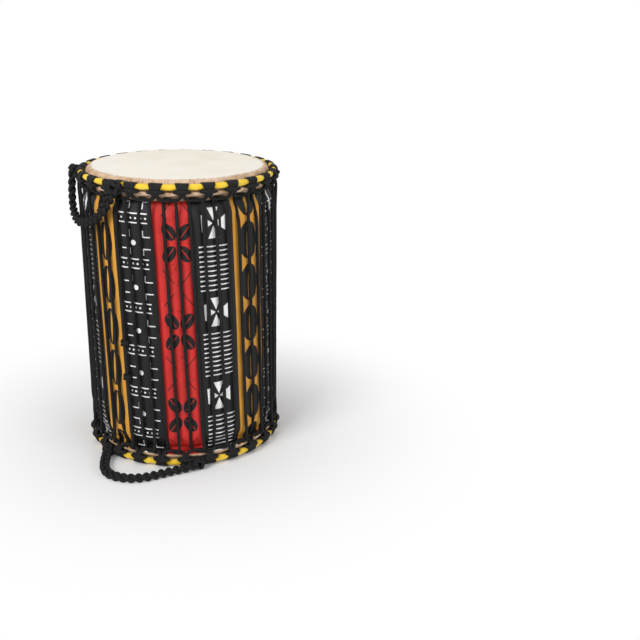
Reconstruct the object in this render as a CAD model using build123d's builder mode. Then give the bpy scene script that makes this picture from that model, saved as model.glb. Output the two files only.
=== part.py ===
"""Rope-tuned drum with two skins: wooden shell, printed cloth cover, ring collars, lacing, braided loops.

The drum's axis is +Z and the origin is the centre of the lower skin. Angles run from the front (-Y)
towards +X. All lengths are in millimetres.
"""

import os
from math import acos, cos, degrees, pi, radians, sin, sqrt, tan

from build123d import *

os.makedirs("parts", exist_ok=True)

# Shell and cover
drum_height = 375.0         # over both skins
shell_radius = 116.0
shell_wall = 10.0
bearing_round = 6.0         # roll of the outer edge that the skin bends over
bore_bevel = 3.0
cloth_thickness = 0.7

# Skins and the rod that each skin is folded round
skin_thickness = 0.9
flesh_rod = 4.0
fold_angle = 230.0          # how far the skin goes round its rod

# Crown ring, wrapped in cloth strip
crown_rod = 5.6
crown_cloth = 0.5

# Ropes
rope_diameter = 3.6
hitch_count = 25
hitch_thickness = 2.2       # rope pressed flat on the crown ring
hitch_width = 7.7           # width of one of a hitch's two turns
hitch_set_back = 0.9        # from the skin's face to the hitches
lacing_phase = 1.7          # angle of the first upper hitch
lacing_lean = 4.5           # turn of the lacing from the upper to the lower ring

# Knots that pull the lacing tight
tuning_loop = -3            # whose strand has them, counted from the first upper loop
tuning_height = 122.0       # of the lower knot
tuning_spacing = 46.0
tuning_length = 9.0
tuning_diameter = 9.6

# Braided carrying loops, each tied to its ring in two gaps between hitches
braid_diameter = 10.5
tie_width = 5.5             # width of one of the two turns under a knot
knot_diameter = 16.8        # a ball, flat where it lies on its turns
knot_set_back = 0.3         # from the skin's face to the knots
upper_tie_gaps = (-3, -7)
lower_tie_gaps = (-4, 0)
upper_handle_route = [      # angle, distance out from the crown ring, drop below the upper skin
    (-34.6, 10.8, 12.0),
    (-36.2, 11.6, 19.0),
    (-38.6, 11.8, 27.5),
    (-41.2, 12.0, 36.5),
    (-44.8, 12.2, 45.5),
    (-49.8, 12.4, 53.5),
    (-56.0, 12.6, 59.0),
    (-63.0, 12.8, 61.2),
    (-70.2, 12.6, 59.4),
    (-76.6, 12.4, 54.4),
    (-81.8, 12.2, 46.4),
    (-85.6, 12.0, 37.0),
    (-88.0, 11.8, 27.5),
    (-90.0, 11.6, 19.0),
    (-91.6, 10.8, 12.0),
]
lower_handle_route = [      # angle, distance out from the crown ring, height
    (-50.77, 11.8, 8.4),
    (-48.48, 17.8, 7.4),
    (-45.93, 24.9, 6.2),
    (-43.01, 33.4, 5.5),
    (-39.85, 41.6, 5.4),
    (-36.21, 48.5, 5.4),
    (-32.14, 51.6, 5.4),
    (-27.68, 51.2, 5.4),
    (-23.06, 47.9, 5.4),
    (-18.62, 41.2, 5.4),
    (-14.32, 32.4, 5.4),
    (-9.77, 24.1, 5.4),
    (-4.68, 17.9, 5.6),
    (0.42, 14.8, 6.6),
    (4.91, 11.3, 8.2),
]

# Clearances
fit_gap = 0.2               # between pieces that lie on each other
fold_gap = 0.5              # between a flesh rod and the skin folded round it

# Radii from the drum's axis, working outwards
collar_radius = shell_radius + fit_gap + skin_thickness
cover_radius = shell_radius + fit_gap + cloth_thickness
flesh_circle = collar_radius + fold_gap + flesh_rod / 2
flesh_wrap = flesh_rod / 2 + fold_gap + skin_thickness
crown_wrap = crown_rod / 2 + fit_gap + crown_cloth
hitch_bore = crown_wrap + fit_gap + hitch_width**2 / (2 * collar_radius)    # clear of the ring's curve
crown_circle = collar_radius + fit_gap + hitch_thickness + hitch_bore
rope_radius = rope_diameter / 2
hook = rope_diameter + fit_gap
loop_circle = cover_radius + fit_gap + rope_radius + hook
knot_radius = knot_diameter / 2
knot_back = 0.3 * knot_radius
knot_base = crown_circle + hitch_bore + hitch_thickness + fit_gap
edge_round = min(bearing_round, shell_wall - bore_bevel - fit_gap)

# Heights of the upper collar, working downwards
crown_height = drum_height - hitch_set_back - hitch_thickness - hitch_bore
ring_spacing = hitch_bore + hitch_thickness + fit_gap + flesh_wrap
flesh_height = crown_height - sqrt(ring_spacing**2 - (crown_circle - flesh_circle) ** 2)
loop_height = flesh_height - flesh_wrap - fit_gap - rope_radius - hook
knot_height = drum_height - knot_set_back - knot_radius
shell_end = drum_height - skin_thickness - fit_gap
middle = Plane.XY.offset(drum_height / 2)

# Spacing round the rings
pitch = 360 / hitch_count
strand_angle = pitch / 4
loop_flat = loop_circle * sin(radians(strand_angle)) + 0.85 * rope_diameter
upper_gap_phase = lacing_phase + pitch / 2
lower_gap_phase = lacing_phase + lacing_lean


def mirrored(height):
    """Height of the same feature at the lower end."""
    return drum_height - height


def polar(angle, radius, height, along=0.0):
    """Point at an angle from the front, shifted along the tangent there."""
    a = radians(angle)
    return Vector(radius * sin(a) + along * cos(a), along * sin(a) - radius * cos(a), height)


def off_crown(slope, distance, along=0.0):
    """Point beside the upper crown ring at the front, at a distance from the ring's centre line."""
    a = radians(slope)
    return polar(0, crown_circle + distance * cos(a), crown_height + distance * sin(a), along)


def ring_plane(angle, height):
    """Plane on the crown ring's centre line, with x along the ring and y towards the axis."""
    return Plane(polar(angle, crown_circle, height), x_dir=polar(angle, 0, 0, along=1), z_dir=(0, 0, 1))


def section_plane(path):
    """Plane square to the start of a path."""
    return Plane(path @ 0, z_dir=path % 0)


def bend_radii(points):
    """Radius for each inner point of a route, as large as its two runs allow."""
    radii = []
    for before, point, after in zip(points, points[1:], points[2:]):
        run_in = point - before
        run_out = after - point
        half_turn = radians(run_in.get_angle(run_out)) / 2
        radii.append(0.45 * min(run_in.length, run_out.length) / tan(half_turn))
    return radii


# Shell: an open wooden cylinder, its ends rounded outside for the skins and bevelled inside
with BuildPart() as shell:
    with BuildSketch(Plane.XY.offset(mirrored(shell_end))):
        Circle(shell_radius)
        Circle(shell_radius - shell_wall, mode=Mode.SUBTRACT)
    extrude(amount=shell_end - mirrored(shell_end))
    chamfer(shell.edges().filter_by(GeomType.CIRCLE).sort_by(SortBy.RADIUS)[:2], bore_bevel)
    fillet(shell.edges().filter_by(GeomType.CIRCLE).sort_by(SortBy.RADIUS)[-2:], edge_round)
shell.part.label = "shell"
export_step(shell.part, "parts/shell.step")

# Cloth cover: a sleeve on the shell, its edges behind the rope loops
with BuildPart() as cloth_cover:
    with BuildSketch(Plane.XY.offset(mirrored(loop_height))):
        Circle(cover_radius)
        Circle(cover_radius - cloth_thickness, mode=Mode.SUBTRACT)
    extrude(amount=loop_height - mirrored(loop_height))
cloth_cover.part.label = "cloth_cover"
export_step(cloth_cover.part, "parts/cloth_cover.step")

# Skin: flat head, bend over the shell's edge, collar, and the fold round the flesh rod
bend_outside = edge_round + fit_gap + skin_thickness
bend_circle = collar_radius - bend_outside
bend_centre = (bend_circle, drum_height - bend_outside)
fold_centre = (flesh_circle, flesh_height)
with BuildPart() as top_skin:
    with BuildSketch(Plane.XZ):
        with BuildLine():
            face_line = Line((0, drum_height), (bend_circle, drum_height))
            outer_bend = CenterArc(bend_centre, bend_outside, 90, -90)
            Line(outer_bend @ 1, (collar_radius, flesh_height))
            fold_inside = CenterArc(fold_centre, flesh_wrap - skin_thickness, 180, fold_angle)
            fold_outside = CenterArc(fold_centre, flesh_wrap, 180, fold_angle)
            Line(fold_inside @ 1, fold_outside @ 1)
            inner_bend = CenterArc(bend_centre, bend_outside - skin_thickness, 90, -90)
            Line(fold_outside @ 0, inner_bend @ 1)
            back_line = Line(inner_bend @ 0, (0, drum_height - skin_thickness))
            Line(back_line @ 1, face_line @ 0)
        make_face()
    revolve(axis=Axis.Z)
top_skin.part.label = "top_skin"
export_step(top_skin.part, "parts/top_skin.step")

with BuildPart() as bottom_skin:
    mirror(top_skin.part, about=middle)
bottom_skin.part.label = "bottom_skin"
export_step(bottom_skin.part, "parts/bottom_skin.step")

# Flesh rods, crown rings and the cloth strip round each crown ring
for end, flesh_z, crown_z in (("top", flesh_height, crown_height),
                              ("bottom", mirrored(flesh_height), mirrored(crown_height))):
    with BuildPart() as flesh_ring:
        with Locations((0, 0, flesh_z)):
            Torus(flesh_circle, flesh_rod / 2)
    flesh_ring.part.label = f"{end}_flesh_ring"
    export_step(flesh_ring.part, f"parts/{end}_flesh_ring.step")

    with BuildPart() as crown_ring:
        with Locations((0, 0, crown_z)):
            Torus(crown_circle, crown_rod / 2)
    crown_ring.part.label = f"{end}_crown_ring"
    export_step(crown_ring.part, f"parts/{end}_crown_ring.step")

    with BuildPart() as crown_strip:
        with Locations((0, 0, crown_z)):
            Torus(crown_circle, crown_wrap)
            Torus(crown_circle, crown_wrap - crown_cloth, mode=Mode.SUBTRACT)
    crown_strip.part.label = f"{end}_crown_strip"
    export_step(crown_strip.part, f"parts/{end}_crown_strip.step")

# Ring rope: two flat turns hitched on the crown ring, and half a loop to each side, hanging below the fold
leg_slope = -60
leg_start = hitch_bore + 0.6 * hitch_thickness
leg_bend = leg_start + rope_diameter
half_loop = [
    off_crown(leg_slope, leg_start, hitch_width / 2),
    off_crown(leg_slope, leg_bend, hitch_width / 2),
    polar(pitch / 2, loop_circle, loop_height, -loop_flat),
    polar(pitch / 2, loop_circle, loop_height),
]
bar_diameter = 0.85 * rope_diameter
bar_slope = -36
bar_end = off_crown(bar_slope, hitch_bore + bar_diameter / 2, 0.8 * hitch_width)
bar_middle = off_crown(bar_slope, hitch_bore + hitch_thickness + 0.3 * rope_diameter)
with BuildPart() as hitch:
    hitch_plane = ring_plane(0, crown_height)
    with BuildSketch(hitch_plane):
        with BuildLine():
            inside = Line((-hitch_width, hitch_bore), (hitch_width, hitch_bore))
            groove = (0, hitch_bore + 0.35 * hitch_thickness)
            ThreePointArc(inside @ 1, (hitch_width / 2, hitch_bore + hitch_thickness), groove)
            ThreePointArc(groove, (-hitch_width / 2, hitch_bore + hitch_thickness), inside @ 0)
        make_face()
    revolve(axis=Axis(hitch_plane.origin, hitch_plane.x_dir))
    with BuildLine() as leg:
        FilletPolyline(*half_loop, radius=[rope_diameter, 1.2 * rope_diameter])
    with BuildSketch(section_plane(leg.wire())):
        Circle(rope_radius)
    sweep(path=leg.wire())
    mirror(about=Plane.YZ)
    with BuildLine() as bar:
        ThreePointArc(bar_end, bar_middle, Vector(-bar_end.X, bar_end.Y, bar_end.Z))
    with BuildSketch(section_plane(bar.wire())):
        Circle(bar_diameter / 2)
    sweep(path=bar.wire())

with BuildPart() as top_ring_rope:
    with PolarLocations(0, hitch_count, start_angle=lacing_phase):
        add(hitch.part)
top_ring_rope.part.label = "top_ring_rope"
export_step(top_ring_rope.part, "parts/top_ring_rope.step")

with BuildPart() as bottom_ring_rope:
    add(mirror(top_ring_rope.part, about=middle, mode=Mode.PRIVATE), rotation=(0, 0, pitch / 2 + lacing_lean))
bottom_ring_rope.part.label = "bottom_ring_rope"
export_step(bottom_ring_rope.part, "parts/bottom_ring_rope.step")

# Lacing: one rope that goes over each upper loop from behind and under each lower loop from behind.
# Between the loops its strands stand side by side, as far out as the fronts of the loops.
hook_height = loop_height + hook
hook_back = loop_circle - hook
hook_front = loop_circle / cos(radians(strand_angle)) + hook + fit_gap
strand_circle = loop_circle + rope_radius + 0.4 * rope_diameter
back_bend = loop_height - 1.3 * rope_diameter
front_bend = back_bend - 6.5 * rope_diameter


def strand_point(top_angle, radius, height):
    """Point of a strand, which leans from its angle at the upper hooks."""
    drop = (hook_height - height) / (hook_height - mirrored(hook_height))
    return polar(top_angle + drop * lacing_lean, radius, height)


def strand_middle(top_angle):
    """Middle of a strand's straight run."""
    return (strand_point(top_angle, strand_circle, front_bend)
            + strand_point(top_angle, strand_circle, mirrored(front_bend))) / 2


lacing_cell = [
    strand_middle(-strand_angle),
    strand_point(-strand_angle, strand_circle, front_bend),
    strand_point(-strand_angle, hook_back, back_bend),
    strand_point(-strand_angle, hook_back, hook_height),
    strand_point(strand_angle, hook_front, hook_height),
    strand_point(strand_angle, strand_circle, front_bend),
    strand_point(strand_angle, strand_circle, mirrored(front_bend)),
    strand_point(strand_angle, hook_back, mirrored(back_bend)),
    strand_point(strand_angle, hook_back, mirrored(hook_height)),
    strand_point(3 * strand_angle, hook_front, mirrored(hook_height)),
    strand_point(3 * strand_angle, strand_circle, mirrored(front_bend)),
    strand_middle(3 * strand_angle),
]
bend = 3 * rope_diameter
lacing_radii = [bend, bend, hook, hook, bend, bend, bend, hook, hook, bend]
with BuildPart() as lacing:
    with BuildLine() as lacing_path:
        FilletPolyline(*lacing_cell, radius=lacing_radii)
    with BuildSketch(section_plane(lacing_path.wire())):
        Circle(rope_radius)
    sweep(path=lacing_path.wire())

with BuildPart() as tension_rope:
    with PolarLocations(0, hitch_count, start_angle=upper_gap_phase):
        add(lacing.part)
tension_rope.part.label = "tension_rope"
export_step(tension_rope.part, "parts/tension_rope.step")

# Tuning knots: two turns of rope each, drawn tight round one strand
tuning_bore = rope_radius + fit_gap
tuning_angle = upper_gap_phase + tuning_loop * pitch - strand_angle
strand_low = strand_point(tuning_angle, strand_circle, mirrored(front_bend))
strand_high = strand_point(tuning_angle, strand_circle, front_bend)
with BuildPart() as tuning_knots:
    for height in (tuning_height, tuning_height + tuning_spacing):
        along = (height - strand_low.Z) / (strand_high.Z - strand_low.Z)
        strand_plane = Plane(strand_low + (strand_high - strand_low) * along, z_dir=strand_high - strand_low)
        with BuildSketch(Plane(strand_plane.origin, x_dir=strand_plane.x_dir, z_dir=-strand_plane.y_dir)):
            with BuildLine():
                bore = Line((tuning_bore, -tuning_length / 2), (tuning_bore, tuning_length / 2))
                groove = (tuning_bore + 0.35 * (tuning_diameter / 2 - tuning_bore), 0)
                ThreePointArc(bore @ 1, (tuning_diameter / 2, tuning_length / 4), groove)
                ThreePointArc(groove, (tuning_diameter / 2, -tuning_length / 4), bore @ 0)
            make_face()
        revolve(axis=Axis(strand_plane.origin, strand_plane.z_dir))
tuning_knots.part.label = "tuning_knots"
export_step(tuning_knots.part, "parts/tuning_knots.step")

# Carrying loops: two tied knots on each crown ring, with the braid between them
handle_ends = (
    ("top", upper_gap_phase, upper_tie_gaps, crown_height, knot_height,
     [polar(angle, crown_circle + out, drum_height - drop) for angle, out, drop in upper_handle_route]),
    ("bottom", lower_gap_phase, lower_tie_gaps, mirrored(crown_height), mirrored(knot_height),
     [polar(angle, crown_circle + out, height) for angle, out, height in lower_handle_route]),
)
for end, gap_phase, tie_gaps, tie_height, ball_height, route in handle_ends:
    with BuildPart() as knots:
        for gap in tie_gaps:
            angle = gap_phase + gap * pitch
            tie_plane = ring_plane(angle, tie_height)
            with BuildSketch(tie_plane):
                with BuildLine():
                    inside = Line((-tie_width, hitch_bore), (tie_width, hitch_bore))
                    groove = (0, hitch_bore + 0.35 * hitch_thickness)
                    ThreePointArc(inside @ 1, (tie_width / 2, hitch_bore + hitch_thickness), groove)
                    ThreePointArc(groove, (-tie_width / 2, hitch_bore + hitch_thickness), inside @ 0)
                make_face()
            revolve(axis=Axis(tie_plane.origin, tie_plane.x_dir))
            ball_centre = polar(angle, knot_base, ball_height)
            ball_plane = Plane(ball_centre, x_dir=polar(angle, 1, 0), z_dir=(0, 0, 1))
            with BuildSketch(ball_plane):
                with BuildLine():
                    ball = CenterArc((knot_back, 0), knot_radius, 0, degrees(acos(-knot_back / knot_radius)))
                    Polyline(ball @ 1, (0, 0), ball @ 0)
                make_face()
            revolve(axis=Axis(ball_plane.origin, ball_plane.x_dir))
    knots.part.label = f"{end}_handle_knots"
    export_step(knots.part, f"parts/{end}_handle_knots.step")

    radii = bend_radii(route)
    with BuildPart() as handle:
        with BuildLine() as braid_path:
            FilletPolyline(*route, radius=radii)
        with BuildSketch(section_plane(braid_path.wire())):
            Circle(braid_diameter / 2)
        sweep(path=braid_path.wire())
    handle.part.label = f"{end}_handle"
    export_step(handle.part, f"parts/{end}_handle.step")

    braid_length = braid_path.wire().length
    tube_volume = pi * braid_diameter**2 / 4 * braid_length
    print(f"{end}_handle: length {braid_length:.0f} mm, bend radii", [round(radius) for radius in radii],
          f"volume {handle.part.volume / tube_volume:.3f} of section times length")
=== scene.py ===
from functools import reduce
from math import cos, pi, radians, sin, tau

import bpy
import numpy as np
from mathutils import Matrix, Vector


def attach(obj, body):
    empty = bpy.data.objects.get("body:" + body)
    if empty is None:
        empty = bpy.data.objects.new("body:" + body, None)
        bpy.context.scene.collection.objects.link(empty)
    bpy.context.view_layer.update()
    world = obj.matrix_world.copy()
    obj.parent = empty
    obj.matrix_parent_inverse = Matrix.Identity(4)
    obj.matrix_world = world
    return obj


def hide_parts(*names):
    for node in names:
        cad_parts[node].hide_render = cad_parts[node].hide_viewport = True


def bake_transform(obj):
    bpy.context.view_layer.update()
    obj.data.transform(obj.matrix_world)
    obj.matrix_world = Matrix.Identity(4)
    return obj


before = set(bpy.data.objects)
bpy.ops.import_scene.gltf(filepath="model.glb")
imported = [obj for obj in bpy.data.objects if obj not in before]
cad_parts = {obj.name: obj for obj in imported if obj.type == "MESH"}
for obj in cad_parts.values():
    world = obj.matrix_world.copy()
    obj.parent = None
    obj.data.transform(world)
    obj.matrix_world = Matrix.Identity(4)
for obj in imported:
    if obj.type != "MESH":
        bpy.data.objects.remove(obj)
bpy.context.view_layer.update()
bpy.context.scene.view_settings.view_transform = "Standard"


# Camera: in front of the drum and above its upper head, looking down and past it to the right.
# Its place, angles and focal length come from the rims, loops and floor line of the photograph.
camera_place = Vector((0.0, -1.2346, 0.5904))
camera_pan, camera_pitch, camera_roll = radians(8.745), radians(19.295), radians(1.023)
focal_pixels, image_pixels = 943.4, 640
ahead = Vector((sin(camera_pan) * cos(camera_pitch), cos(camera_pan) * cos(camera_pitch), -sin(camera_pitch)))
level = Vector((cos(camera_pan), -sin(camera_pan), 0.0))
upward = level.cross(ahead)
camera_x = level * cos(camera_roll) + upward * sin(camera_roll)
camera_y = upward * cos(camera_roll) - level * sin(camera_roll)
camera_data = bpy.data.cameras.new("photo_camera")
camera_data.lens = camera_data.sensor_width * focal_pixels / image_pixels
camera = bpy.data.objects.new("photo_camera", camera_data)
bpy.context.collection.objects.link(camera)
camera_turn = Matrix((camera_x, camera_y, -ahead)).transposed()
camera.matrix_world = Matrix.Translation(camera_place) @ camera_turn.to_4x4()
bpy.context.scene.camera = camera


# Shell: a cylinder carved from one log and scraped smooth, open at both ends.
# It is bare dry wood with the grain along the drum, and the cloth and the hides cover it.
grain_scale = (170.0, 170.0, 9.0)              # fine across the grain, long along the drum


def add(tree, kind, inputs=None, **settings):
    """Adds a node to a tree, with its settings, and sets or links its inputs."""
    node = tree.nodes.new(kind)
    for name, value in settings.items():
        setattr(node, name, value)
    for key, value in (inputs or {}).items():
        if isinstance(value, bpy.types.NodeSocket):
            tree.links.new(value, node.inputs[key])
        else:
            node.inputs[key].default_value = value
    return node


def new_finish(name, constants):
    """New material, its node tree and its shader, whose plain constants are set."""
    finish = bpy.data.materials.new(name)
    finish.use_nodes = True
    shader = finish.node_tree.nodes["Principled BSDF"]
    for socket, value in constants.items():
        shader.inputs[socket].default_value = value
    return finish, finish.node_tree, shader


def object_place(tree):
    """Place of a point on the drum."""
    return add(tree, "ShaderNodeTexCoord").outputs["Object"]


def noise(tree, place, scale, detail):
    """Soft random tone over a place."""
    return add(tree, "ShaderNodeTexNoise", {"Vector": place, "Scale": scale, "Detail": detail}).outputs["Fac"]


def ramp(tree, factor, stops):
    """Colour from a factor, through stops of place and colour."""
    node = add(tree, "ShaderNodeValToRGB", {"Fac": factor})
    elements = node.color_ramp.elements
    while len(elements) < len(stops):
        elements.new(1.0)
    for element, (place, colour) in zip(elements, stops):
        element.position = place
        element.color = (*colour, 1.0)
    return node.outputs["Color"]


def bump(tree, shader, height, strength, distance):
    """Relief from a height, on a shader."""
    relief = add(tree, "ShaderNodeBump", {"Height": height, "Strength": strength, "Distance": distance})
    tree.links.new(relief.outputs["Normal"], shader.inputs["Normal"])


def refinish(node_name, finish):
    """Puts one finish on a piece that is shown as the CAD model has it."""
    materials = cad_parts[node_name].data.materials
    materials.clear()
    materials.append(finish)


wood_finish, wood, wood_shader = new_finish("bare_wood", {"Roughness": 0.72, "Specular IOR Level": 0.25})
grain_place = add(wood, "ShaderNodeMapping", {"Vector": object_place(wood), "Scale": grain_scale}).outputs[0]
grain = noise(wood, grain_place, scale=1.0, detail=7.0)
wood_colour = ramp(wood, grain, [
    (0.3, (0.36, 0.21, 0.12)),
    (0.5, (0.55, 0.37, 0.24)),
    (0.72, (0.66, 0.49, 0.35))])
wood.links.new(wood_colour, wood_shader.inputs["Base Color"])
bump(wood, wood_shader, grain, strength=0.5, distance=0.0006)
refinish("shell", wood_finish)


# Cloth cover: printed cotton in upright stripes, sewn round the shell before the rope goes on.
# The strands of the lacing press it into grooves, and between them it puffs out in 50 flutes.
MM = 0.001
strand_pitch, first_strand = 7.2, 5.3          # degrees, at the upper hooks
lacing_lean = 4.5                              # degrees that a strand goes round the drum between its hooks
hook_high, hook_low = 353.59, 21.41            # heights of the lacing's hooks
cloth_low, cloth_high = 26.0, 349.7
cloth_inside, cloth_thickness = 116.35, 0.55
cloth_stand_out, puff, edge_fade = 5.0, 1.6, 16.0
flute_least, flute_spread, flute_fullness = 0.85, 0.3, 0.8
flute_sway, sway_length = 0.16, 27.0
flute_columns, cloth_rows = 10, 60
panel_columns = (-106, 86)                     # front panel's selvages, counted from the first strand
seam_column = -7                               # back panel's white edge by the front panel's first selvage
# The front panel's stripes: degrees at the upper hooks, and the repeats of the four stripes at them.
panel_angles = (-72.0, -58.0, -40.8, -16.4, 5.3, 30.6, 52.4, 67.2)
panel_repeats = (-0.4, -0.25, 0.0, 0.25, 0.5, 0.75, 1.0, 1.153)
back_repeats = (1.02, 3.23)
hem_circle, hem_height, hem_lap, hem_high, hem_thickness = 119.6, 16.0, 3.75, 28.0, 0.25
hem_start, hem_end, hem_turn_steps, hem_rise_steps = 25.0, 150.0, 9, 4
hem_gap = 0.05                                 # between the hem and the cloth over it
bake_margin, bake_outside, bake_inside = 0.01, 0.9, 0.08     # shares of the height of the map for baking


def calc(tree, operation, a, b=0.0, c=0.0, clamp=False):
    """Result of one sum on numbers or sockets."""
    return add(tree, "ShaderNodeMath", {0: a, 1: b, 2: c}, operation=operation, use_clamp=clamp).outputs[0]


def scaled(tree, value, by, plus, clamp=False):
    """Value multiplied and then moved."""
    return calc(tree, "MULTIPLY_ADD", value, by, plus, clamp)


def length_of(tree, place):
    """Distance of a place from the origin."""
    return add(tree, "ShaderNodeVectorMath", {0: place}, operation="LENGTH").outputs["Value"]


def map_place(tree, name):
    """Place across and along a piece, from its own map."""
    axes = add(tree, "ShaderNodeSeparateXYZ", {0: add(tree, "ShaderNodeUVMap", uv_map=name).outputs[0]})
    return axes.outputs["X"], axes.outputs["Y"]


def mixed(tree, factor, first, second):
    """Colour between two colours, each a socket or three numbers."""
    colours = {6: first, 7: second}
    for key, colour in colours.items():
        if not isinstance(colour, bpy.types.NodeSocket):
            colours[key] = (*colour, 1.0)
    return add(tree, "ShaderNodeMix", {0: factor, **colours}, data_type="RGBA").outputs[2]


def on_drum(angle, radius, height):
    """Points in metres from degrees, from the front towards +X, and radii and heights in millimetres."""
    a = np.radians(angle)
    return np.stack(np.broadcast_arrays(radius * np.sin(a), -radius * np.cos(a), height), axis=-1) * MM


def smooth(x):
    """Rises smoothly from 0 at 0 to 1 at 1."""
    x = np.clip(x, 0.0, 1.0)
    return x * x * (3 - 2 * x)


def lean_at(height, lean=lacing_lean):
    """Degrees that the lacing has gone round the drum at a height, down from its upper hooks."""
    return lean * (hook_high - height) / (hook_high - hook_low)


def grid_faces(rings, sides, closed):
    """Faces between rings of points; where closed, the last ring also joins the first."""
    ring, side = np.indices((rings if closed else rings - 1, sides))
    ring_next, side_next = (ring + 1) % rings, (side + 1) % sides
    corners = ((ring, side), (ring, side_next), (ring_next, side_next), (ring_next, side))
    return np.stack([r * sides + s for r, s in corners], axis=-1).reshape(-1, 4)


def new_piece(name, mesh, finish):
    """Object for a finished mesh, smooth and with one material."""
    mesh.materials.clear()
    mesh.materials.append(finish)
    mesh.polygons.foreach_set("use_smooth", np.ones(len(mesh.polygons), bool))
    piece = bpy.data.objects.new(name, mesh)
    bpy.context.collection.objects.link(piece)
    return piece


flute_count = round(360 / strand_pitch)
column_count = flute_count * flute_columns
column = np.arange(panel_columns[0], panel_columns[0] + column_count + 1)
column_angle = first_strand + column * strand_pitch / flute_columns
back_start = panel_columns[1] - panel_columns[0]
selvage_columns = [-2, -1, 0, 1, back_start - 1, back_start, back_start + 1, seam_column]
front_repeat = np.interp(column_angle, panel_angles, panel_repeats)
back_repeat = np.interp(np.arange(column_count + 1), (back_start, column_count), back_repeats)
quad_repeat = np.where(np.arange(column_count) < back_start,
                       (front_repeat[:-1], front_repeat[1:]), (back_repeat[:-1], back_repeat[1:]))


def cloth_wall(name, outer, inner):
    """Closed wall of cloth from the radii and heights of its two sides, with its print and selvages."""
    radius, ring_height = (np.concatenate([a, b[::-1]]) for a, b in zip(outer, inner))
    rings = on_drum(column_angle[None, :-1] + lean_at(ring_height)[:, None], radius, ring_height[:, None])
    rows, ring_count = len(outer[1]), len(rings)
    faces = grid_faces(ring_count, column_count, closed=True)
    mesh = bpy.data.meshes.new(name)
    mesh.from_pydata(rings.reshape(-1, 3).tolist(), [], faces.tolist())
    print_map, bake_map = np.zeros((2, ring_count, column_count, 4, 2))
    for corner, (ring_step, turn_step) in enumerate(((0, 0), (0, 1), (1, 1), (1, 0))):
        row = np.arange(ring_count) + ring_step
        bake_up = (bake_margin + bake_outside * np.minimum(row, rows) / rows
                   + bake_inside * np.maximum(row - rows, 0) / rows)
        print_map[:, :, corner, 0] = quad_repeat[turn_step][None, :]
        print_map[:, :, corner, 1] = ring_height[row % ring_count][:, None]
        bake_map[:, :, corner, 0] = (np.arange(column_count) + turn_step)[None, :] / column_count
        bake_map[:, :, corner, 1] = bake_up[:, None]
    for layer_name, layer_values in (("print", print_map), ("OFBake", bake_map)):
        layer = mesh.uv_layers.new(name=layer_name)
        layer.uv.foreach_set("vector", layer_values.astype(np.float32).ravel())
    selvage = np.zeros((ring_count, column_count), np.float32)
    selvage[:, selvage_columns] = 1.0
    mesh.attributes.new("selvage", "FLOAT", "POINT").data.foreach_set("value", selvage.ravel())
    return mesh


row_height = np.linspace(cloth_low, cloth_high, cloth_rows + 1)
fade = smooth(np.minimum(row_height - cloth_low, cloth_high - row_height) / edge_fade)[:, None]
flute = np.floor(column[:-1] / flute_columns).astype(int)
across_flute = column[:-1] / flute_columns - flute
flute_draw = np.random.default_rng(11).uniform(0.0, 1.0, (2, flute_count))[:, flute % flute_count]
sway = flute_sway * np.sin(row_height[:, None] / sway_length + tau * flute_draw[1])
flute_size = flute_least + flute_spread * flute_draw[0] + sway
flute_shape = np.sin(pi * across_flute) ** flute_fullness
cloth_edge = cloth_inside + cloth_thickness
cloth_radius = cloth_edge + fade * (cloth_stand_out + puff * flute_size * flute_shape)
cloth_back = cloth_radius - cloth_thickness
cloth_mesh = cloth_wall("printed_cloth", (cloth_radius, row_height), (cloth_back, row_height))

hem_turn = np.radians(np.linspace(hem_start, hem_end, hem_turn_steps))
hem_sides = []
for hem_out, lap in ((cloth_inside - hem_gap, hem_lap + hem_thickness),
                     (cloth_inside - hem_gap - hem_thickness, hem_lap)):
    hem_rise = np.linspace(hem_height + lap, hem_high, hem_rise_steps)
    hem_radius = np.concatenate([hem_circle + lap * np.cos(hem_turn), np.full(hem_rise_steps, hem_out)])
    hem_sides.append((hem_radius[:, None], np.concatenate([hem_height + lap * np.sin(hem_turn), hem_rise])))
hem_mesh = cloth_wall("cloth_hem", *hem_sides)

# The print, in black, red, ochre and white: a ladder stripe with dots and brackets, a stripe of bean
# flowers, a stripe of hourglasses over rows of dashes, and a stripe of long cowries in a chain.
# Its sizes are in millimetres.
stripe_count, stripe_width = 4, 50.0
print_period, cowrie_period, dash_pitch = 56.6, 55.4, 6.2
ladder_dot_height, rung_height, flower_height = 185.7, 159.4, 186.8
hourglass_height, cowrie_height = 209.6, 239.1
ink_sharpness, selvage_edge = 3.0, 0.45
thread_pitch, speck_depth, fading_relief = 0.7, 0.8, 3.0
stripe_middle = 1.2                            # of the dashes and the cowries, aside from the stripe's own
bracket_middle, rung_dot_start, rung_dot_pitch = 3.4, -63.1, 6.1
wedge_reach, side_wedge_reach, bar_reach, dash_reach = 18.8, 6.4, 10.6, 30.0
slit_width, slit_taper, slit_wave, slit_sway = 2.5, -0.0052, 0.06, 1.5
print_black, print_red, red_speck = (0.006, 0.006, 0.0066), (0.57, 0.024, 0.02), (0.1, 0.008, 0.008)
print_ochre, print_white = (0.66, 0.31, 0.04), (0.9, 0.9, 0.88)
cloth_finish, cotton, cotton_shader = new_finish("printed_cotton", {"Specular IOR Level": 0.3})


def minus(a, b):
    """Difference of two values of the print."""
    return calc(cotton, "SUBTRACT", a, b)


def times(a, b):
    """Product of two values of the print."""
    return calc(cotton, "MULTIPLY", a, b)


def unsigned(value):
    """Value of the print without its sign."""
    return calc(cotton, "ABSOLUTE", value)


def overlap(*depths):
    """Depth inside all of some shapes; a depth is a distance in from a shape's edge."""
    return reduce(lambda a, b: calc(cotton, "MINIMUM", a, b), depths)


def together(*depths):
    """Depth inside any of some shapes."""
    return reduce(lambda a, b: calc(cotton, "MAXIMUM", a, b), depths)


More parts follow.
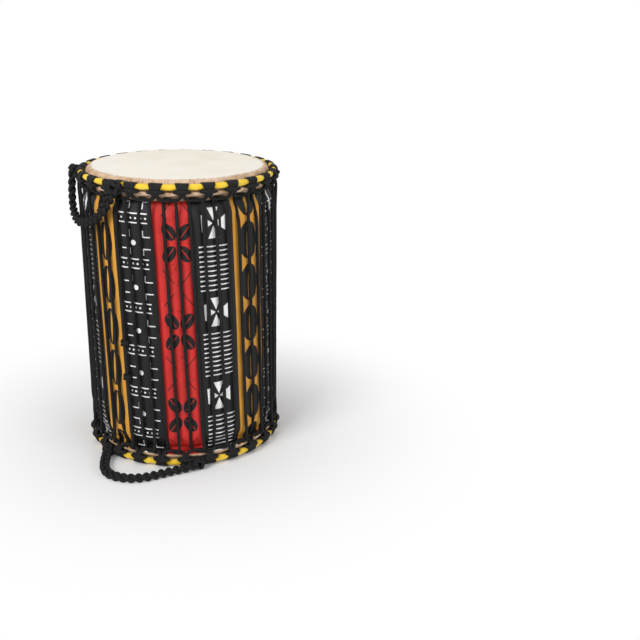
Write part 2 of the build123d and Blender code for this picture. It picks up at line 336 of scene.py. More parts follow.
def without(depth, hole):
    """Depth inside a shape and outside a hole in it."""
    return overlap(depth, times(hole, -1.0))


def within(value, centre, half):
    """Depth inside a band."""
    return minus(half, unsigned(minus(value, centre)))


def bar(x, y, left, right, low, high):
    """Depth inside an upright rectangle."""
    beside = within(x, (left + right) / 2, (right - left) / 2)
    return overlap(beside, within(y, (low + high) / 2, (high - low) / 2))


def disc(x, y, radius):
    """Depth inside a disc about the origin."""
    return minus(radius, length_of(cotton, add(cotton, "ShaderNodeCombineXYZ", {0: x, 1: y}).outputs[0]))


def oval(x, y, half_x, half_y):
    """Depth inside an oval about the origin."""
    share = add(cotton, "ShaderNodeCombineXYZ", {0: times(x, 1 / half_x), 1: times(y, 1 / half_y)}).outputs[0]
    return times(minus(1.0, length_of(cotton, share)), min(half_x, half_y))


def turned(x, y, centre, angle):
    """Coordinates about a centre, turned by an angle in degrees."""
    c, s = cos(radians(angle)), sin(radians(angle))
    dx, dy = minus(x, centre[0]), minus(y, centre[1])
    return scaled(cotton, dx, c, times(dy, s)), scaled(cotton, dx, -s, times(dy, c))


def printed(depth):
    """Ink from a depth, with an edge a third of a millimetre soft."""
    return scaled(cotton, depth, by=ink_sharpness, plus=0.5, clamp=True)


def folded(place, centre, period):
    """Distance from the nearest of a row of motifs."""
    return calc(cotton, "PINGPONG", minus(place, centre), period / 2)


def wrapped(height, centre, half):
    """Height above or below the nearest of a row of motifs."""
    return calc(cotton, "WRAP", minus(height, centre), half, -half)


print_repeat, print_height = map_place(cotton, "print")
stripe = times(calc(cotton, "FRACT", print_repeat), stripe_count)
across = scaled(cotton, calc(cotton, "FRACT", stripe), by=stripe_width, plus=-stripe_width / 2)


def leaned(rate, shift):
    """Place across a stripe, from a line that leans across it with height."""
    return minus(across, scaled(cotton, print_height, by=rate, plus=shift))


ladder_x = leaned(rate=0.0173, shift=-3.8)
ladder_side = unsigned(ladder_x)
bracket_side = unsigned(minus(ladder_x, bracket_middle))
ladder_y = folded(print_height, ladder_dot_height, print_period)
rung_x = folded(ladder_x, rung_dot_start, rung_dot_pitch)
rung_y = folded(print_height, rung_height, print_period)
ladder_marks = together(
    disc(ladder_x, ladder_y, radius=3.3),
    bar(bracket_side, ladder_y, left=7.9, right=18.3, low=6.8, high=8.2),
    bar(bracket_side, ladder_y, left=7.9, right=9.3, low=6.8, high=15.4),
    overlap(within(rung_y, centre=5.7, half=0.75), within(ladder_side, centre=0.0, half=18.3)),
    overlap(disc(rung_x, rung_y, radius=1.25), within(ladder_side, centre=0.0, half=17.5)))

flower_x = unsigned(leaned(rate=0.03, shift=-2.6))
flower_y = folded(print_height, flower_height, 2 * print_period)
bean_along, bean_across = turned(flower_x, flower_y, centre=(10.2, 13.6), angle=52.0)
bean_slit = overlap(within(bean_along, centre=0.5, half=9.5), within(bean_across, centre=0.0, half=0.5))
bean_marks = without(oval(bean_along, bean_across, half_x=11.6, half_y=7.9), bean_slit)
cross_y = minus(print_period, flower_y)
cross_along, cross_across = turned(flower_x, cross_y, centre=(0.0, 0.0), angle=50.0)
cross_marks = overlap(within(cross_along, centre=19.5, half=11.0), within(cross_across, centre=0.0, half=0.6))
flower_marks = together(bean_marks, cross_marks)

glass_x = leaned(rate=0.0147, shift=-3.85)
glass_side = unsigned(glass_x)
glass_y = folded(print_height, hourglass_height, 2 * print_period)
glass_up = wrapped(print_height, hourglass_height, print_period)
dash_y = minus(print_period, glass_y)
dash_row = calc(cotton, "PINGPONG", dash_y, dash_pitch / 2)
wedge_half = scaled(cotton, glass_y, by=0.41, plus=-1.2)
side_wedge_rise = scaled(cotton, glass_side, by=0.76, plus=-0.7)
right_bar_rise = scaled(cotton, glass_x, by=0.75, plus=-1.0)
left_bar_half = scaled(cotton, glass_up, by=0.04, plus=1.3)
hourglass_marks = together(
    overlap(minus(wedge_reach, glass_y), minus(wedge_half, glass_side)),
    overlap(minus(side_wedge_reach, glass_side), minus(side_wedge_rise, glass_y)),
    overlap(within(glass_x, centre=12.0, half=2.7), minus(right_bar_rise, glass_y)),
    overlap(within(glass_x, centre=-12.4, half=left_bar_half), minus(bar_reach, glass_y)),
    overlap(within(dash_row, centre=dash_pitch / 2, half=0.8), minus(dash_reach, dash_y),
            within(across, centre=stripe_middle, half=18.6)))

cowrie_x = minus(across, stripe_middle)
cowrie_y = wrapped(print_height, cowrie_height, cowrie_period / 2)
slit_curve = times(calc(cotton, "SINE", times(cowrie_y, slit_wave)), slit_sway)
slit_half = scaled(cotton, calc(cotton, "POWER", unsigned(cowrie_y), 2.0), by=slit_taper, plus=slit_width)
cowrie_slit = within(cowrie_x, slit_curve, slit_half)
cowrie_marks = without(oval(cowrie_x, cowrie_y, half_x=17.0, half_y=24.2), cowrie_slit)

on_ladder = calc(cotton, "LESS_THAN", stripe, 1.0)
on_red = calc(cotton, "COMPARE", stripe, 1.5, 0.5)
on_hourglass = calc(cotton, "COMPARE", stripe, 2.5, 0.5)
on_ochre = calc(cotton, "GREATER_THAN", stripe, 3.0)
selvage_share = add(cotton, "ShaderNodeAttribute", attribute_name="selvage").outputs["Fac"]
hourglass_ink = times(printed(hourglass_marks), on_hourglass)
marks_ink = scaled(cotton, printed(ladder_marks), by=on_ladder, plus=hourglass_ink)
white_ink = together(printed(minus(selvage_share, selvage_edge)), marks_ink)
red_ink = times(on_red, minus(1.0, printed(flower_marks)))
ochre_ink = times(on_ochre, minus(1.0, printed(cowrie_marks)))

cotton_place = object_place(cotton)
speck = noise(cotton, cotton_place, scale=330.0, detail=2.0)
speck_ink = scaled(cotton, speck, by=-16.0, plus=5.5, clamp=True)
fading = noise(cotton, cotton_place, scale=38.0, detail=5.0)
red_cloth = mixed(cotton, times(speck_ink, speck_depth), print_red, red_speck)
cotton_colour = mixed(cotton, red_ink, print_black, red_cloth)
cotton_colour = mixed(cotton, ochre_ink, cotton_colour, print_ochre)
cotton_colour = mixed(cotton, white_ink, cotton_colour, print_white)
faded = add(cotton, "ShaderNodeHueSaturation", {
    "Value": scaled(cotton, fading, by=0.7, plus=0.68), "Color": cotton_colour}).outputs[0]
cotton.links.new(faded, cotton_shader.inputs["Base Color"])
cotton.links.new(scaled(cotton, fading, by=0.25, plus=0.4), cotton_shader.inputs["Roughness"])
thread_across = calc(cotton, "SINE", times(print_repeat, tau * stripe_count * stripe_width / thread_pitch))
thread_along = calc(cotton, "SINE", times(print_height, tau / thread_pitch))
weave = scaled(cotton, thread_across, by=thread_along, plus=times(fading, fading_relief))
bump(cotton, cotton_shader, weave, strength=0.22, distance=0.0003)

cloth_piece = new_piece("printed_cloth", cloth_mesh, cloth_finish)
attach(cloth_piece, "drum")
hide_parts("cloth_cover")
# Its lower hem comes out under it over the fold of the hide, and is drawn up with the lower ring.
hem_piece = new_piece("cloth_hem", hem_mesh, cloth_finish)
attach(hem_piece, "bottom_ring")


# Heads: scraped goat hide, put on wet. Each is flat over the shell's end, bends down over its edge
# and is folded up round a rod; the edge is left tan and rough, with short hair on it.
drum_height = 375.0
hide_thickness, bend_outside, bend_circle = 0.9, 7.1, 110.0
collar_radius = bend_circle + bend_outside
fold_circle, fold_height, fold_inside = 119.6, 358.99, 2.5
fold_end, cut_wave = 410.0, 9.0                # degrees round the rod, from inside, under and up
collar_wave, fold_wave = 0.14, 0.12
pull_start, pull_reach = 100.0, 14.0           # radius from which the pull of the ring shows
face_radii = np.array([8.0, 25.0, 45.0, 65.0, 82.0, 95.0, 103.0])
hide_turns, bend_steps, collar_steps, fold_steps = 300, 10, 6, 16
streaks_round, streaks_down, streak_tone, pore_relief = 62.0, 90.0, 0.4, 0.3
edge_radius, edge_streaks, edge_clouds, edge_sharpness = 0.0987, 0.011, 0.009, 400.0


def ripple(x, seed, waves):
    """Sum of sines over x in turns, about -1 to 1, from a fixed seed."""
    draw = np.random.default_rng(seed)
    sines = sum(np.sin(tau * (n * x + draw.random())) * draw.uniform(0.4, 1.0) for n in waves)
    return sines / len(waves) ** 0.5


def arc(centre, radius, start, end, count):
    """Points of an arc, radius and height by row."""
    a = np.radians(np.linspace(start, end, count))
    return np.stack([centre[0] + radius * np.cos(a), centre[1] + radius * np.sin(a)], axis=-1)


def hide_profile(end_angle):
    """Closed section of a hide from the middle of its face to the middle of its back."""
    bend_centre = (bend_circle, drum_height - bend_outside)
    fold_centre = (fold_circle, fold_height)
    face = np.full(len(face_radii), drum_height)
    side = np.full(collar_steps, collar_radius)
    collar = np.linspace(bend_centre[1], fold_height, collar_steps + 2)[1:-1]
    return np.concatenate([
        np.stack([face_radii, face], axis=-1),
        arc(bend_centre, bend_outside, 90, 0, bend_steps),
        np.stack([side, collar], axis=-1),
        arc(fold_centre, fold_inside, 180, end_angle, fold_steps),
        arc(fold_centre, fold_inside + hide_thickness, end_angle, 180, fold_steps),
        np.stack([side - hide_thickness, collar[::-1]], axis=-1),
        arc(bend_centre, bend_outside - hide_thickness, 0, 90, bend_steps),
        np.stack([face_radii[::-1], face - hide_thickness], axis=-1),
    ])


def hide_mesh(name, seed, upside_down):
    """Mesh of one head, with a slightly uneven collar, fold and cut edge."""
    turns = np.arange(hide_turns) / hide_turns
    cut = fold_end + cut_wave * ripple(turns, seed, (7, 13, 29, 41))
    section = np.stack([hide_profile(end) for end in cut], axis=1)
    pull = smooth((section[..., 0] - pull_start) / pull_reach)
    section[..., 0] += collar_wave * pull * ripple(turns, seed + 1, (11, 25, 31, 50))[None, :]
    section[..., 1] += fold_wave * pull * ripple(turns, seed + 2, (9, 25, 37, 61))[None, :]
    section[..., 1] = np.minimum(section[..., 1], drum_height)
    points = on_drum(360.0 * turns[None, :], section[..., 0], section[..., 1]).reshape(-1, 3)
    faces = grid_faces(len(section), hide_turns, closed=False)[:, [0, 3, 2, 1]].tolist()
    face_middle, back_middle = len(points), len(points) + 1
    last = len(points) - hide_turns
    for k in range(hide_turns):
        k_next = (k + 1) % hide_turns
        faces.append((face_middle, k, k_next))
        faces.append((back_middle, last + k_next, last + k))
    middles = on_drum(0.0, 0.0, np.array([drum_height, drum_height - hide_thickness]))
    points = np.concatenate([points, middles])
    if upside_down:
        points[:, 2] = drum_height * MM - points[:, 2]
        faces = [face[::-1] for face in faces]
    mesh = bpy.data.meshes.new(name)
    mesh.from_pydata(points.tolist(), [], faces)
    return mesh


hide_finish, hide, hide_shader = new_finish("scraped_hide", {"Specular IOR Level": 0.3})
hide_place = object_place(hide)
hide_axes = add(hide, "ShaderNodeSeparateXYZ", {0: hide_place}).outputs
hide_angle = calc(hide, "ARCTAN2", hide_axes["X"], hide_axes["Y"])
from_axis = add(hide, "ShaderNodeCombineXYZ", {0: hide_axes["X"], 1: hide_axes["Y"]}).outputs[0]
hide_radius = length_of(hide, from_axis)
streak_place = add(hide, "ShaderNodeCombineXYZ", {
    0: calc(hide, "MULTIPLY", calc(hide, "SINE", hide_angle), streaks_round),
    1: calc(hide, "MULTIPLY", calc(hide, "COSINE", hide_angle), streaks_round),
    2: calc(hide, "MULTIPLY", calc(hide, "ADD", hide_radius, hide_axes["Z"]), streaks_down)}).outputs[0]
streak = noise(hide, streak_place, scale=1.6, detail=6.0)
cloud = noise(hide, hide_place, scale=17.0, detail=4.0)
pores = noise(hide, hide_place, scale=800.0, detail=3.0)
blotch = noise(hide, hide_place, scale=130.0, detail=5.0)
edge_start = scaled(hide, streak, by=edge_streaks, plus=edge_radius)
edge_start = scaled(hide, cloud, by=edge_clouds, plus=edge_start)
past_edge = calc(hide, "SUBTRACT", hide_radius, edge_start)
edge_share = calc(hide, "MULTIPLY", past_edge, edge_sharpness, clamp=True)
head_colour = ramp(hide, cloud, [
    (0.3, (0.87, 0.8, 0.67)),
    (0.5, (0.91, 0.855, 0.755)),
    (0.7, (0.93, 0.885, 0.81))])
edge_tone = scaled(hide, blotch, by=0.6, plus=calc(hide, "MULTIPLY", streak, streak_tone))
edge_colour = ramp(hide, edge_tone, [
    (0.34, (0.34, 0.19, 0.11)),
    (0.48, (0.62, 0.42, 0.27)),
    (0.62, (0.78, 0.59, 0.43))])
hide.links.new(mixed(hide, edge_share, head_colour, edge_colour), hide_shader.inputs["Base Color"])
hide.links.new(scaled(hide, edge_share, by=0.25, plus=0.52), hide_shader.inputs["Roughness"])
edge_relief = calc(hide, "MULTIPLY", streak, edge_share)
hide_relief = scaled(hide, edge_relief, by=2.5, plus=calc(hide, "MULTIPLY", pores, pore_relief))
bump(hide, hide_shader, hide_relief, strength=0.5, distance=0.0006)

rod_finish, rod, rod_shader = new_finish("bent_iron_rod", {"Metallic": 0.85})
rust = noise(rod, object_place(rod), scale=260.0, detail=6.0)
rod_colour = ramp(rod, rust, [
    (0.35, (0.09, 0.04, 0.022)),
    (0.55, (0.2, 0.15, 0.12)),
    (0.7, (0.3, 0.29, 0.28))])
rod.links.new(rod_colour, rod_shader.inputs["Base Color"])
rod.links.new(scaled(rod, rust, by=-0.4, plus=0.75), rod_shader.inputs["Roughness"])
bump(rod, rod_shader, rust, strength=0.4, distance=0.0003)

# Short hair left on a hide's edge: thin blades scattered over the bend and the collar at random slants.
# Sizes are in metres, and heights are counted from the drum's middle.
hair_density, hair_length, hair_thickness = 420000.0, 0.0022, 0.00009
hair_least, hair_most = 0.5, 1.3               # shares of the length
hair_spread_low, hair_spread_high = (-0.9, -0.9, -0.9), (0.9, 0.9, 0.5)
hair_inside, hair_inside_fade, hair_outside = 0.1135, 0.003, 0.1176
hair_low, hair_low_fade = 0.1785, 0.002
floor_clearance = 0.0001


def new_tree(name, inputs, output):
    """New node tree for shapes, with named inputs and one output, and the sockets of its inputs."""
    tree = bpy.data.node_groups.new(name, "GeometryNodeTree")
    for socket_name, kind in inputs.items():
        tree.interface.new_socket(socket_name, in_out="INPUT", socket_type=f"NodeSocket{kind}")
    tree.interface.new_socket(output, in_out="OUTPUT", socket_type="NodeSocketGeometry")
    return tree, add(tree, "NodeGroupInput").outputs


def through_nodes(name, mesh, tree, values):
    """Plain mesh that a node tree makes from a mesh, with the tree's named inputs set."""
    holder = bpy.data.objects.new(name, mesh)
    bpy.context.collection.objects.link(holder)
    modifier = holder.modifiers.new("nodes", "NODES")
    modifier.node_group = tree
    for socket in tree.interface.items_tree:
        if socket.name in values:
            modifier[socket.identifier] = values[socket.name]
    made = bpy.data.meshes.new_from_object(holder.evaluated_get(bpy.context.evaluated_depsgraph_get()))
    bpy.data.objects.remove(holder)
    return made


hair_tree, hair_in = new_tree("hair_on_hide_edge", {
    "Hide": "Geometry", "Density": "Float", "Length": "Float", "Thickness": "Float", "Seed": "Int",
    "Finish": "Material"}, "Hair")
hair_band = add(hair_tree, "GeometryNodeInputNamedAttribute", {
    "Name": "hair_band"}, data_type="FLOAT").outputs[0]
hair_roots = add(hair_tree, "GeometryNodeDistributePointsOnFaces", {
    "Mesh": hair_in["Hide"], "Density": calc(hair_tree, "MULTIPLY", hair_band, hair_in["Density"]),
    "Seed": hair_in["Seed"]}).outputs
hair_blade = add(hair_tree, "GeometryNodeMeshCone", {
    "Vertices": 3, "Radius Top": 0.0, "Radius Bottom": hair_in["Thickness"],
    "Depth": hair_in["Length"]}).outputs["Mesh"]
hair_spread = add(hair_tree, "FunctionNodeRandomValue", {
    "Min": hair_spread_low, "Max": hair_spread_high,
    "Seed": hair_in["Seed"]}, data_type="FLOAT_VECTOR").outputs[0]
hair_way = add(hair_tree, "ShaderNodeVectorMath", {0: hair_roots["Normal"], 1: hair_spread}, operation="ADD")
hair_turn = add(hair_tree, "FunctionNodeAlignRotationToVector", {"Vector": hair_way.outputs[0]}, axis="Z")
hair_share = add(hair_tree, "FunctionNodeRandomValue", {
    2: hair_least, 3: hair_most, "Seed": hair_in["Seed"]}, data_type="FLOAT").outputs[1]
hair_copies = add(hair_tree, "GeometryNodeInstanceOnPoints", {
    "Points": hair_roots["Points"], "Instance": hair_blade, "Rotation": hair_turn.outputs[0],
    "Scale": hair_share}).outputs[0]
hair_plain = add(hair_tree, "GeometryNodeRealizeInstances", {"Geometry": hair_copies}).outputs[0]
hair_done = add(hair_tree, "GeometryNodeSetMaterial", {
    "Geometry": hair_plain, "Material": hair_in["Finish"]}).outputs[0]
hair_tree.links.new(hair_done, add(hair_tree, "NodeGroupOutput").inputs[0])

hair_finish, fur, fur_shader = new_finish("tan_hair", {"Roughness": 0.6, "Specular IOR Level": 0.25})
fur_tone = noise(fur, object_place(fur), scale=300.0, detail=2.0)
fur_colour = ramp(fur, fur_tone, [
    (0.35, (0.2, 0.1, 0.05)),
    (0.5, (0.42, 0.25, 0.14)),
    (0.65, (0.62, 0.44, 0.3))])
fur.links.new(fur_colour, fur_shader.inputs["Base Color"])

for end, seed, upside_down, head_start, head_end in (
        ("top", 3, False, 0.368, 0.3625), ("bottom", 8, True, 0.007, 0.0125)):
    head_mesh = hide_mesh(f"{end}_hide", seed, upside_down)
    place = np.array([v.co for v in head_mesh.vertices])
    out = np.hypot(place[:, 0], place[:, 1])
    up = np.abs(place[:, 2] - drum_height * MM / 2)
    band = smooth((out - hair_inside) / hair_inside_fade) * smooth((up - hair_low) / hair_low_fade)
    band = band * (out < hair_outside)
    band_attribute = head_mesh.attributes.new("hair_band", "FLOAT", "POINT")
    band_attribute.data.foreach_set("value", band.astype(np.float32))
    hair_mesh = through_nodes(f"{end}_hair", head_mesh, hair_tree, {
        "Density": hair_density, "Length": hair_length, "Thickness": hair_thickness, "Seed": seed,
        "Finish": hair_finish})
    if upside_down:                            # the drum stands on this end and presses its hair flat
        hair_points = np.array([v.co for v in hair_mesh.vertices])
        hair_points[:, 2] = np.maximum(hair_points[:, 2], floor_clearance)
        hair_mesh.vertices.foreach_set("co", hair_points.ravel())
    head_piece = new_piece(f"{end}_hide", head_mesh, hide_finish)
    hair_piece = new_piece(f"{end}_hide_hair", hair_mesh, hair_finish)
    for piece in (head_piece, hair_piece):
        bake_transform(piece)
    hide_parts(f"{end}_skin")
    refinish(f"{end}_flesh_ring", rod_finish)
    refinish(f"{end}_crown_ring", rod_finish)


# Crown strips: yellow cotton torn into a strip and wound round each crown ring in slanting turns.
# The rope's hitches nip it, and it swells in each gap between them.
hitch_count, hitch_phase = 25, 1.7
hitch_pitch = 360 / hitch_count
gap_half = hitch_pitch / 2
crown_circle, crown_height = 123.45, 367.95
strip_radius, strip_swell, strip_thickness = 3.35, 0.35, 0.45
swell_start, swell_reach = 0.42, 0.35          # shares of the way from a hitch to the middle of a gap
strip_turns, strip_step, strip_sink, strip_wave = 74, 0.22, 0.08, 0.1
strip_segments, strip_sides = 500, 24
yellow_threads = 1.6                           # for each millimetre

yellow_finish, yellow, yellow_shader = new_finish("yellow_cotton", {
    "Specular IOR Level": 0.3, "Sheen Weight": 0.15})
yellow_tone = noise(yellow, object_place(yellow), scale=75.0, detail=5.0)
yellow_sines = [calc(yellow, "SINE", calc(yellow, "MULTIPLY", thread, tau * yellow_threads))
                for thread in map_place(yellow, "strip")]
yellow_weave = calc(yellow, "MULTIPLY", *yellow_sines)
yellow_colour = ramp(yellow, yellow_tone, [
    (0.3, (0.82, 0.48, 0.022)),
    (0.5, (0.92, 0.61, 0.035)),
    (0.7, (0.95, 0.68, 0.06))])
yellow.links.new(yellow_colour, yellow_shader.inputs["Base Color"])
yellow.links.new(scaled(yellow, yellow_tone, by=0.2, plus=0.6), yellow_shader.inputs["Roughness"])
yellow_relief = scaled(yellow, yellow_tone, by=2.0, plus=yellow_weave)
bump(yellow, yellow_shader, yellow_relief, strength=0.3, distance=0.0003)


def strip_mesh(name, height, phase, seed):
    """Mesh of one wound strip, swollen between the hitches, with the step of each turn's edge."""
    angle = np.arange(strip_segments) * 360.0 / strip_segments
    side = np.arange(strip_sides) * 360.0 / strip_sides
    from_hitch = np.abs((angle - phase + gap_half) % (2 * gap_half) - gap_half) / gap_half
    swell = strip_swell * smooth((from_hitch - swell_start) / swell_reach)
    wind = (strip_turns * angle[:, None] / 360.0 + side[None, :] / 360.0) % 1.0
    radius = strip_radius + swell[:, None] + strip_step * wind - strip_sink
    radius = radius + strip_wave * ripple(angle / 360.0, seed, (17, 43, 61))[:, None]
    walls = []
    for depth in (0.0, strip_thickness):
        section_out = crown_circle + (radius - depth) * np.cos(np.radians(side))[None, :]
        section_up = height + (radius - depth) * np.sin(np.radians(side))[None, :]
        walls.append(on_drum(angle[:, None], section_out, section_up).reshape(-1, 3))
    outer = grid_faces(strip_segments, strip_sides, closed=True)[:, [0, 3, 2, 1]]
    inner = outer[:, ::-1] + strip_segments * strip_sides
    mesh = bpy.data.meshes.new(name)
    mesh.from_pydata(np.concatenate(walls).tolist(), [], np.concatenate([outer, inner]).tolist())
    along, round_it = 2 * pi * crown_circle / strip_segments, 2 * pi * strip_radius / strip_sides
    at, by = np.indices((strip_segments, strip_sides))
    corners = np.stack([np.stack([(at + i) * along, (by + j) * round_it], axis=-1)
                        for i, j in ((0, 0), (1, 0), (1, 1), (0, 1))], axis=2).reshape(-1, 4, 2)
    strip_map = np.concatenate([corners, corners[:, ::-1]])
    mesh.uv_layers.new(name="strip").uv.foreach_set("vector", strip_map.astype(np.float32).ravel())
    return mesh


low_phase = hitch_phase + gap_half + lacing_lean
for end, height, phase, seed in (("top", crown_height, hitch_phase, 21),
                                 ("bottom", drum_height - crown_height, low_phase, 22)):
    strip_name = f"{end}_yellow_strip"
    strip_piece = new_piece(strip_name, strip_mesh(strip_name, height, phase, seed), yellow_finish)
    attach(strip_piece, f"{end}_ring")
    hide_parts(f"{end}_crown_strip")


# Ring rope: black braided cord, tied to each crown ring in 25 cow hitches: up in front of the ring, round
# it, across both legs as a bar, round it again and down. Between hitches it hangs in a loop under the hide's
# fold.
rope_radius, rope_sides, curve_steps = 2.1, 12, 4
hitch_thickness, hitch_bore = 2.2, 3.75
turn_half, turn_middle = hitch_thickness / 2, hitch_bore + hitch_thickness / 2
top_half = 0.65                                # half thickness where a turn is pulled flat over the ring
top_middle = hitch_bore + top_half
loop_circle, loop_height, loop_rope = 123.2, 352.2, 2.25
ring_unevenness, joint_reach = 0.0008, 0.00002
plait_slope, plait_strands, fuzz_tone = 0.42, 7.0, 0.6
rope_finish, rope, rope_shader = new_finish("black_braided_rope", {
    "Roughness": 0.8, "Specular IOR Level": 0.12})
plait_round, plait_along = map_place(rope, "rope")
plait_turn = calc(rope, "MULTIPLY", plait_round, plait_strands)
plait_sines = []
for slope in (plait_slope, -plait_slope):
    plait_phase = scaled(rope, plait_along, by=slope, plus=plait_turn)
    plait_sine = calc(rope, "SINE", calc(rope, "MULTIPLY", plait_phase, pi))
    plait_sines.append(calc(rope, "ABSOLUTE", plait_sine))
plait_relief = calc(rope, "MULTIPLY", *plait_sines)
fuzz = noise(rope, object_place(rope), scale=1500.0, detail=4.0)
# The rope's colour follows the plait: painted shade darkens the grooves between its strands and a painted
# highlight lightens their crests, with random fuzz tone over both.
plait_shade_and_fuzz_tone = scaled(rope, plait_relief, by=0.6, plus=calc(rope, "MULTIPLY", fuzz, fuzz_tone))
rope_colour = ramp(rope, plait_shade_and_fuzz_tone, [
    (0.15, (0.005, 0.005, 0.0053)),
    (0.5, (0.015, 0.0145, 0.0148)),
    (0.95, (0.04, 0.039, 0.039))])
rope.links.new(rope_colour, rope_shader.inputs["Base Color"])
rope_relief = scaled(rope, fuzz, by=0.5, plus=plait_relief)
bump(rope, rope_shader, rope_relief, strength=0.7, distance=0.0005)


def through_points(points):
    """Rows of a table drawn out to a smooth curve through them, with some steps for each row."""
    rows = np.concatenate([2 * points[:1] - points[1:2], points, 2 * points[-1:] - points[-2:-1]])
    t = (np.arange(curve_steps) / curve_steps)[:, None]
    curve = []
    for a, b, c, d in zip(rows, rows[1:], rows[2:], rows[3:]):
        curve.append(0.5 * (2 * b + (c - a) * t + (2 * a - 5 * b + 4 * c - d) * t ** 2
                            + (3 * b - a - 3 * c + d) * t ** 3))
    return np.concatenate([*curve, points[-1:]])


def unit(ways):
    """Rows of a table of ways, each made one unit long."""
    return ways / np.linalg.norm(ways, axis=1)[:, None]


def square_to(facing, way):
    """The part of each facing that is square to its way, one unit long."""
    return unit(facing - (facing * way).sum(1)[:, None] * way)


def distance_along(line):
    """Distance of each point of a line from its start, along the line."""
    return np.concatenate([[0], np.cumsum(np.linalg.norm(np.diff(line, axis=0), axis=1))])


def rope_mesh(name, runs, capped=True):
    """Mesh of ropes. A run is its points, the way each section faces, its half width and half thickness."""
    points, faces, maps = [], [], []
    turn = tau * np.arange(rope_sides) / rope_sides
    for line, facing, half_width, half_thickness in runs:
        base = sum(len(p) for p in points)
        way = unit(np.gradient(line, axis=0))
        facing = square_to(facing, way)
        across_way = np.cross(way, facing)
        square = np.clip(half_thickness / half_width, 0.5, 1.0)[:, None]     # a flat rope is squarer
        out_share, side_share = (np.sign(f) * np.abs(f) ** square for f in (np.cos(turn), np.sin(turn)))
        outward = facing[:, None] * (half_thickness[:, None] * out_share)[..., None] * MM
        sideways = across_way[:, None] * (half_width[:, None] * side_share)[..., None] * MM
        points.append((line[:, None] + outward + sideways).reshape(-1, 3))
        along = distance_along(line) / MM
        faces += (grid_faces(len(line), rope_sides, closed=False) + base).tolist()
        for i, j in np.ndindex(len(line) - 1, rope_sides):
            maps += [(j, along[i]), (j + 1, along[i]), (j + 1, along[i + 1]), (j, along[i + 1])]
        if capped:
            last = base + (len(line) - 1) * rope_sides
            faces.append([base + k for k in reversed(range(rope_sides))])
            faces.append([last + k for k in range(rope_sides)])
            maps += [(0, 0.0)] * rope_sides + [(0, along[-1])] * rope_sides
    mesh = bpy.data.meshes.new(name)
    mesh.from_pydata(np.concatenate(points).tolist(), [], faces)
    rope_map = np.array(maps, np.float32) / (rope_sides, 1.0)
    mesh.uv_layers.new(name="rope").uv.foreach_set("vector", rope_map.astype(np.float32).ravel())
    return mesh


def round_crown(along, slope, distance, height):
    """Points beside a crown ring: degrees along it, a slope in radians and a distance from its middle."""
    return on_drum(along, crown_circle + distance * np.cos(slope), height + distance * np.sin(slope))


def hitch_run():
    """Run of rope for one hitch and half a loop on each side of it."""
    table = []                                 # point, the way the section faces, half width, half thickness
    gap_way = on_drum(-gap_half, 1.0, 0.0)
    gap_tangent = np.array([cos(radians(gap_half)), -sin(radians(gap_half)), 0.0]) * MM
    for along, drop, half_width, half_thickness in (
            (0.0, 0.6, 1.5, 2.6), (3.6, 0.4, 1.8, 2.4), (7.4, 0.0, 2.2, 2.2)):
        point = on_drum(-gap_half, loop_circle, loop_height - drop) + gap_tangent * along
        table.append((point, gap_way, half_width, half_thickness))
    leg_way = on_drum(-2.0, 1.0, 0.4)
    for angle, out, up in ((-2.4, 0.5, 0.9), (-1.15, 2.0, 3.6)):
        table.append((on_drum(angle, loop_circle + out, loop_height + up), leg_way, loop_rope, loop_rope))
    for along, slope, distance, half_width, half_thickness in (
            (-2.1, -64.0, 9.4, 2.5, 2.0), (-2.4, -46.0, 6.6, 2.9, 1.6),
            (-2.8, -22.0, 5.2, 3.3, 1.25), (-3.2, 6.0, turn_middle, 3.8, 1.15),
            (-3.7, 45.0, 4.6, 4.3, 0.9), (-3.9, 90.0, top_middle, 4.6, top_half),
            (-3.9, 130.0, top_middle, 4.5, top_half), (-4.0, 180.0, 4.6, 4.1, 0.9),
            (-4.9, 230.0, turn_middle, 3.2, turn_half), (-6.8, 272.0, turn_middle, 2.6, 1.3),
            (-8.5, 296.0, 6.2, 2.4, 1.8), (-7.3, 314.0, 7.4, 2.5, 2.0),
            (-3.4, 321.0, 8.2, 2.6, 2.0), (0.0, 322.0, 8.3, 2.6, 2.0)):
        a = radians(slope)
        point = round_crown(np.degrees(along / crown_circle), a, distance, crown_height)
        table.append((point, np.array([0.0, -cos(a), sin(a)]), half_width, half_thickness))
    mirror_x = np.array([-1.0, 1.0, 1.0])
    table += [(point * mirror_x, way * mirror_x, w, t) for point, way, w, t in reversed(table[:-1])]
    points, ways, widths, thicknesses = (np.array(column, float) for column in zip(*table))
    halves = through_points(np.stack([widths, thicknesses], axis=-1))
    return through_points(points), through_points(unit(ways)), halves[:, 0], halves[:, 1]


# Copies of one piece, turned about the drum's axis, joined where their ends meet, and stirred a little.
copies_tree, copies_in = new_tree("copies_round_drum", {
    "Piece": "Geometry", "Count": "Int", "Start": "Float", "Unevenness": "Float",
    "Finish": "Material"}, "Copies")
copy_points = add(copies_tree, "GeometryNodePoints", {"Count": copies_in["Count"]}).outputs[0]
copy_pitch = calc(copies_tree, "DIVIDE", tau, copies_in["Count"])
copy_index = add(copies_tree, "GeometryNodeInputIndex").outputs[0]
copy_angle = scaled(copies_tree, copy_index, by=copy_pitch, plus=copies_in["Start"])
copy_turn = add(copies_tree, "ShaderNodeCombineXYZ", {"Z": copy_angle}).outputs[0]
copies = add(copies_tree, "GeometryNodeInstanceOnPoints", {
    "Points": copy_points, "Instance": copies_in["Piece"], "Rotation": copy_turn}).outputs[0]
copies = add(copies_tree, "GeometryNodeRealizeInstances", {"Geometry": copies}).outputs[0]
copies = add(copies_tree, "GeometryNodeMergeByDistance", {
    "Geometry": copies, "Distance": joint_reach}).outputs[0]
copy_place = add(copies_tree, "GeometryNodeInputPosition").outputs[0]
stir = add(copies_tree, "ShaderNodeTexNoise", {
    "Vector": copy_place, "Scale": 70.0, "Detail": 1.0}).outputs["Color"]
